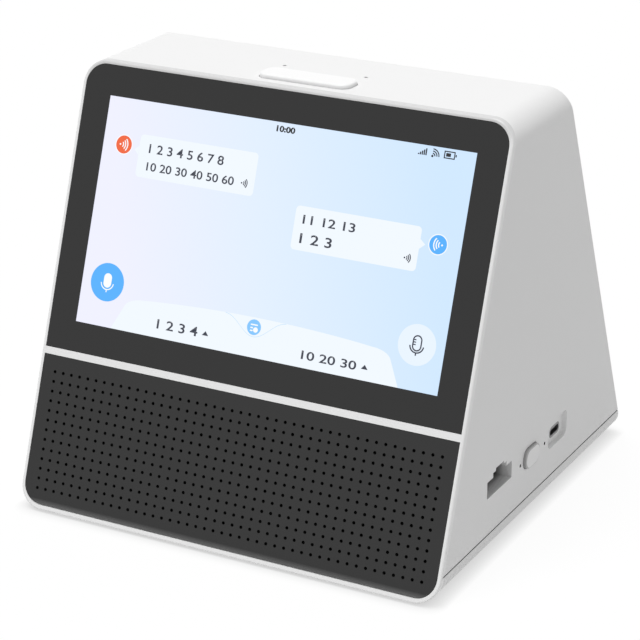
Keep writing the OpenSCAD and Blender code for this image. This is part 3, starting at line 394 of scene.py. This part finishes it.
def on_screen(obj, layer):
    """Moves a piece that was drawn flat onto the glass, a number of thin layers above it."""
    lift = -PANEL_SINK + LAYER * MM * (layer + 1)
    obj.matrix_world = screen_place @ Matrix.Translation((0, 0, lift)) @ Matrix.Scale(MM, 4)
    deselect()
    obj.select_set(True)
    bpy.context.view_layer.objects.active = obj
    bpy.ops.object.transform_apply(location=True, rotation=True, scale=True)


def thicken():
    """Gives a flat piece a thin edge, as a printed layer has, and turns its faces outwards."""
    bpy.ops.object.mode_set(mode="EDIT")
    bpy.ops.mesh.select_all(action="SELECT")
    bpy.ops.mesh.extrude_region_move(TRANSFORM_OT_translate={"value": (0, 0, -LAYER / 2)})
    bpy.ops.mesh.select_all(action="SELECT")
    bpy.ops.mesh.normals_make_consistent(inside=False)
    bpy.ops.object.mode_set(mode="OBJECT")


def disc(x, s, r, verts=48):
    """A flat round piece."""
    deselect()
    bpy.ops.mesh.primitive_circle_add(
        vertices=verts, radius=r, fill_type="NGON", location=(x, s, 0))
    bpy.ops.object.transform_apply(location=True, rotation=True, scale=True)
    return bpy.context.object


def card(x0, s0, x1, s1, r):
    """A rectangle with round corners, or with sharp ones if r is 0."""
    deselect()
    bpy.ops.mesh.primitive_plane_add(size=1, location=((x0 + x1) / 2, (s0 + s1) / 2, 0))
    obj = bpy.context.object
    obj.scale = (x1 - x0, s1 - s0, 1)
    bpy.ops.object.transform_apply(location=True, rotation=True, scale=True)
    if r > 0:
        bpy.ops.object.mode_set(mode="EDIT")
        bpy.ops.mesh.select_all(action="SELECT")
        bpy.ops.mesh.bevel(offset=r, segments=8, affect="VERTICES")
        bpy.ops.object.mode_set(mode="OBJECT")
    return obj


def polygon(points):
    """A flat outline given by its corners, made from a circle with that many corners."""
    deselect()
    bpy.ops.mesh.primitive_circle_add(vertices=len(points), radius=1, fill_type="NGON")
    obj = bpy.context.object
    for vertex, (x, s) in zip(obj.data.vertices, points):
        vertex.co = (x, s, 0)
    return obj


def arc(x, s, rx, ry, a0, a1, steps):
    """Points along part of an ellipse, from one angle to another in degrees."""
    angles = [math.radians(a0 + (a1 - a0) * i / steps) for i in range(steps + 1)]
    return [(x + rx * math.cos(a), s + ry * math.sin(a)) for a in angles]


def band(x, s, r, width, a0, a1, steps=16):
    """Part of a ring, from one angle to another in degrees."""
    outer = r + width / 2
    inner = r - width / 2
    return polygon(arc(x, s, outer, outer, a0, a1, steps) + arc(x, s, inner, inner, a1, a0, steps))


def join(objs, name, finish, layer):
    """Joins flat pieces of one colour, puts them on the glass and lets them ride with the housing."""
    deselect()
    for obj in objs:
        obj.select_set(True)
    bpy.context.view_layer.objects.active = objs[0]
    if len(objs) > 1:
        bpy.ops.object.join()
    obj = bpy.context.object
    thicken()
    obj.name = name
    obj.data.materials.clear()
    obj.data.materials.append(finish)
    on_screen(obj, layer)
    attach(obj, HOUSING)


# Lit colours of the picture: the display's pixels through the glass, even and without grain
picture_back = picture_glow("lit background", "ECEDFD", "DFECFD", "CDE5FE")
bubble_light = glow("lit bubble", "EEF5FC")
ink = glow("lit dark ink", "2B3040")
ink_black = glow("lit black ink", "0E1014")
orange = glow("lit orange", "EE6130")
blue = glow("lit blue", "4FAEFF")
pale_blue = glow("lit pale blue", "B9DCFA")
button_pale = glow("lit pale button", "E6F1FD")
white_lit = glow("lit white", "FAFCFF")
mid_blue = glow("lit mid blue", "7FC3FB")

picture_low = PICTURE_S - PICTURE_H / 2
picture_high = PICTURE_S + PICTURE_H / 2
join([card(-PICTURE_W / 2, picture_low, PICTURE_W / 2, picture_high, 0)],
     "screen_background", picture_back, 0)

# Two speech bubbles, each with a pointer towards its round badge
join([
    card(-61.4, 135.4, -9.6, 151.8, 1.6),
    polygon([(-61.5, 147.2), (-63.4, 145.5), (-61.5, 143.8)]),
    card(9.5, 118.7, 61.2, 135.2, 1.6),
    polygon([(61.1, 130.8), (61.1, 127.0), (63.4, 129.0)]),
], "speech_bubbles", bubble_light, 1)


def sound_arcs(x, s, r, side, width):
    """A dot and three arcs that open to one side: +1 to the right, -1 to the left."""
    centre = 0 if side > 0 else 180
    parts = [disc(x, s, width * 0.8, verts=20)]
    for k in (0.42, 0.71, 1.0):
        parts.append(band(x, s, r * k, width, centre - ARC_REACH, centre + ARC_REACH))
    return parts


def number_row(x, s, width, height, numbers, weight=NUMBER_WEIGHT):
    """A row of plain numbers, fitted to a width and a height."""
    deselect()
    bpy.ops.object.text_add(location=(0, 0, 0))
    obj = bpy.context.object
    obj.data.body = numbers
    obj.data.size = NUMBER_SIZE
    obj.data.offset = weight
    obj.data.resolution_u = NUMBER_STEPS
    bpy.ops.object.convert(target="MESH")
    obj = bpy.context.object
    xs = [v.co.x for v in obj.data.vertices]
    ys = [v.co.y for v in obj.data.vertices]
    size = Matrix.Diagonal((width / (max(xs) - min(xs)), height / (max(ys) - min(ys)), 1.0, 1.0))
    corner = Matrix.Translation((-min(xs), -(min(ys) + max(ys)) / 2, 0))
    obj.data.transform(Matrix.Translation((x, s, 0)) @ size @ corner)
    return obj


join([number_row(-57.0, 146.8, 33.0, 3.6, "1 2 3 4 5 6 7 8"),
      number_row(-57.0, 139.9, 38.6, 3.3, "10 20 30 40 50 60"),
      number_row(12.9, 130.4, 21.8, 3.4, "11 12 13"),
      number_row(12.8, 123.3, 13.4, 3.8, "1 2 3")],
     "number_rows", ink, 2)
join(sound_arcs(-15.0, 139.8, 2.35, 1, 0.4) + sound_arcs(56.1, 123.1, 2.35, 1, 0.4),
     "play_marks", ink, 2)

# Round badges, each with a pale ring and sound arcs
BADGE_X = 68.4
BADGE_LEFT_S = 146.7
BADGE_RIGHT_S = 129.8
BADGE_R = 3.5
join([disc(-BADGE_X, BADGE_LEFT_S, BADGE_R)], "left_badge", orange, 1)
join([disc(BADGE_X, BADGE_RIGHT_S, BADGE_R)], "right_badge", blue, 1)
join([band(x, s, BADGE_R + 0.18, 0.34, 0, 360, 48)
      for x, s in ((-BADGE_X, BADGE_LEFT_S), (BADGE_X, BADGE_RIGHT_S))],
     "badge_rings", white_lit, 1)
join(sound_arcs(-BADGE_X - 1.6, BADGE_LEFT_S, 3.3, 1, 0.45)
     + sound_arcs(BADGE_X + 1.6, BADGE_RIGHT_S, 3.3, -1, 0.45),
     "badge_marks", white_lit, 2)

# Status row: five signal bars, three arcs with a dot, and a battery in its outline
signal_bars = [card(54.7 + 0.74 * i, 160.9, 55.22 + 0.74 * i, 161.4 + 0.5 * i, 0.08)
               for i in range(5)]
status_arcs = [band(60.5, 161.0, r, 0.42, 0, 90) for r in (1.0, 1.8, 2.6)]
status_arcs.append(disc(60.5, 161.0, 0.45, verts=16))
battery = [
    card(65.8, 161.6, 67.7, 162.9, 0.15),
    card(69.55, 161.8, 70.0, 162.7, 0.1),
    card(65.0, 160.85, 69.4, 161.25, 0),
    card(65.0, 163.25, 69.4, 163.65, 0),
    card(65.0, 161.25, 65.42, 163.25, 0),
    card(68.98, 161.25, 69.4, 163.25, 0),
]
join(signal_bars + status_arcs + battery, "status_marks", ink_black, 1)

# The clock
join([number_row(-3.95, 162.1, 7.9, 2.35, "10:00", CLOCK_WEIGHT)], "clock_numbers", ink_black, 1)


def mic_mark(x, s, filled, line):
    """A microphone: a capsule, filled or in outline, a cradle under it and a short stem."""
    if filled:
        parts = [card(x - 1.75, s - 1.9, x + 1.75, s + 3.7, 1.74)]
    else:
        parts = [band(x, s + 2.0, 1.65, line, 0, 180), band(x, s - 0.2, 1.65, line, 180, 360),
                 card(x - 1.65 - line / 2, s - 0.2, x - 1.65 + line / 2, s + 2.0, 0),
                 card(x + 1.65 - line / 2, s - 0.2, x + 1.65 + line / 2, s + 2.0, 0)]
        parts += [card(x - 1.5, s + 0.1 + 0.9 * i, x - 0.5, s + 0.1 + line * 0.8 + 0.9 * i, 0)
                  for i in range(3)]
    parts.append(band(x, s + 0.1, 2.75, line, 185, 355, 24))
    parts.append(card(x - line / 2, s - 3.7, x + line / 2, s - 2.6, 0))
    return parts


# The two talk buttons on the screen
join([disc(-66.35, 93.2, 7.45, verts=64)], "left_screen_button", blue, 1)
join([disc(66.6, 92.7, 7.6, verts=64)], "right_screen_button", button_pale, 1)
join(mic_mark(-66.3, 93.0, True, 0.42), "left_screen_mark", white_lit, 2)
join(mic_mark(66.6, 92.4, False, 0.52), "right_screen_mark", ink, 2)

# The pale tab at the bottom: its arched top, round corners and feet, and the line of a cup round its badge
TAB_TOP = 91.0
TAB_DROP = 3.1
TAB_DROP_X = 60
TAB_FOOT_X = 61.8
TAB_CORNER = (48.7, 84.8)
TAB_CORNER_RX = 8.6
TAB_CORNER_RY = 4.1
TAB_EDGE_X = 49.2
CUP_X = 13.0
CUP_S = 83.7
CUP_RISE = 7.0
CUP_LINE = 0.18


def tab_outline():
    """The tab from its right foot over a round corner and an arched top to its left foot."""
    corner_x, corner_s = TAB_CORNER
    right = arc(corner_x, corner_s, TAB_CORNER_RX, TAB_CORNER_RY, 15, 90, 6)
    left = [(-x, s) for x, s in reversed(right)]
    top = []
    for i in range(1, 24):
        x = TAB_EDGE_X - 2 * TAB_EDGE_X * i / 24
        top.append((x, TAB_TOP - TAB_DROP * (x / TAB_DROP_X) ** 2))
    return [(TAB_FOOT_X, picture_low)] + right + top + left + [(-TAB_FOOT_X, picture_low)]


def cup_outline():
    """The thin line round the cup: a wave along its lower edge and back along its upper one."""
    points = []
    for side in (-1, 1):
        for i in range(33):
            t = (i / 16 - 1) * -side
            rise = CUP_RISE * (0.5 - 0.5 * math.cos(math.pi * abs(t)))
            points.append((CUP_X * t, CUP_S + rise + CUP_LINE / 2 * side))
    return points


join([polygon(tab_outline())], "language_tab", bubble_light, 1)
join([polygon(cup_outline())], "tab_cup_line", pale_blue, 2)
join([disc(-0.2, 87.3, 2.95)], "tab_badge", mid_blue, 3)
join([card(-1.7, 88.0, 1.3, 88.5, 0.1), card(-1.7, 86.8, -0.6, 87.3, 0.1),
      card(-1.7, 85.7, -0.6, 86.2, 0.1), disc(0.6, 86.4, 1.0, verts=24)],
     "tab_badge_mark", white_lit, 4)
join([number_row(-41.7, 81.3, 18.0, 3.7, "1 2 3 4"),
      number_row(21.1, 80.8, 22.9, 3.3, "10 20 30"),
      polygon([(-21.7, 80.5), (-18.9, 80.5), (-20.3, 82.2)]),
      polygon([(46.0, 80.1), (48.8, 80.1), (47.4, 81.8)])],
     "label_numbers", ink, 2)

# Floor, lights and world
deselect()
bpy.ops.mesh.primitive_plane_add(size=12, location=(0, 0, 0))
floor = bpy.context.object
floor.name = "floor"
floor.data.materials.append(floor_white("pale studio floor", "DBDBDB", 0.40, 6.5))


# One far lamp, high up and a little to the left and the front, with a soft edge to its shadow
key_data = bpy.data.lights.new("key", "SUN")
key_data.energy = KEY_STRENGTH
key_data.angle = KEY_SPREAD
key = bpy.data.objects.new("key", key_data)
bpy.context.scene.collection.objects.link(key)
key.rotation_euler = KEY_FROM.to_track_quat("Z", "Y").to_euler()

# The world lights the object softly, and is white where it is seen
world = bpy.data.worlds.new("studio")
bpy.context.scene.world = world
world.use_nodes = True
tree = world.node_tree
tree.nodes.clear()
soft = add_node(tree, "ShaderNodeBackground", {"Color": WHITE, "Strength": WORLD_LEVEL})
plain = add_node(tree, "ShaderNodeBackground", {"Color": WHITE, "Strength": 1.0})
mix = add_node(tree, "ShaderNodeMixShader", {
    0: seen_rays(tree), 1: soft.outputs[0], 2: plain.outputs[0]})
add_node(tree, "ShaderNodeOutputWorld", {"Surface": mix.outputs[0]})

# Camera at the photograph's place, measured from the lower edge of the front
CAMERA_LENS = 133.69
CAMERA_SENSOR = 36
CAMERA_PLACE = Vector((408.83, -691.16, 410.54)) * MM + Vector((0, FRONT_Y, FOOT_H))
CAMERA_LOOK = Vector((-0.43526, 0.82273, -0.36561)).normalized()
CAMERA_UP = Vector((-0.17423, 0.32144, 0.93076))
camera_data = bpy.data.cameras.new("camera")
camera_data.sensor_width = CAMERA_SENSOR
camera_data.lens = CAMERA_LENS
camera_data.clip_end = 100
camera = bpy.data.objects.new("camera", camera_data)
bpy.context.scene.collection.objects.link(camera)
right = CAMERA_LOOK.cross(CAMERA_UP).normalized()
level = Matrix((right, right.cross(CAMERA_LOOK), -CAMERA_LOOK)).transposed().to_4x4()
camera.matrix_world = Matrix.Translation(CAMERA_PLACE) @ level
bpy.context.scene.camera = camera

bpy.context.scene.view_settings.view_transform = "Standard"
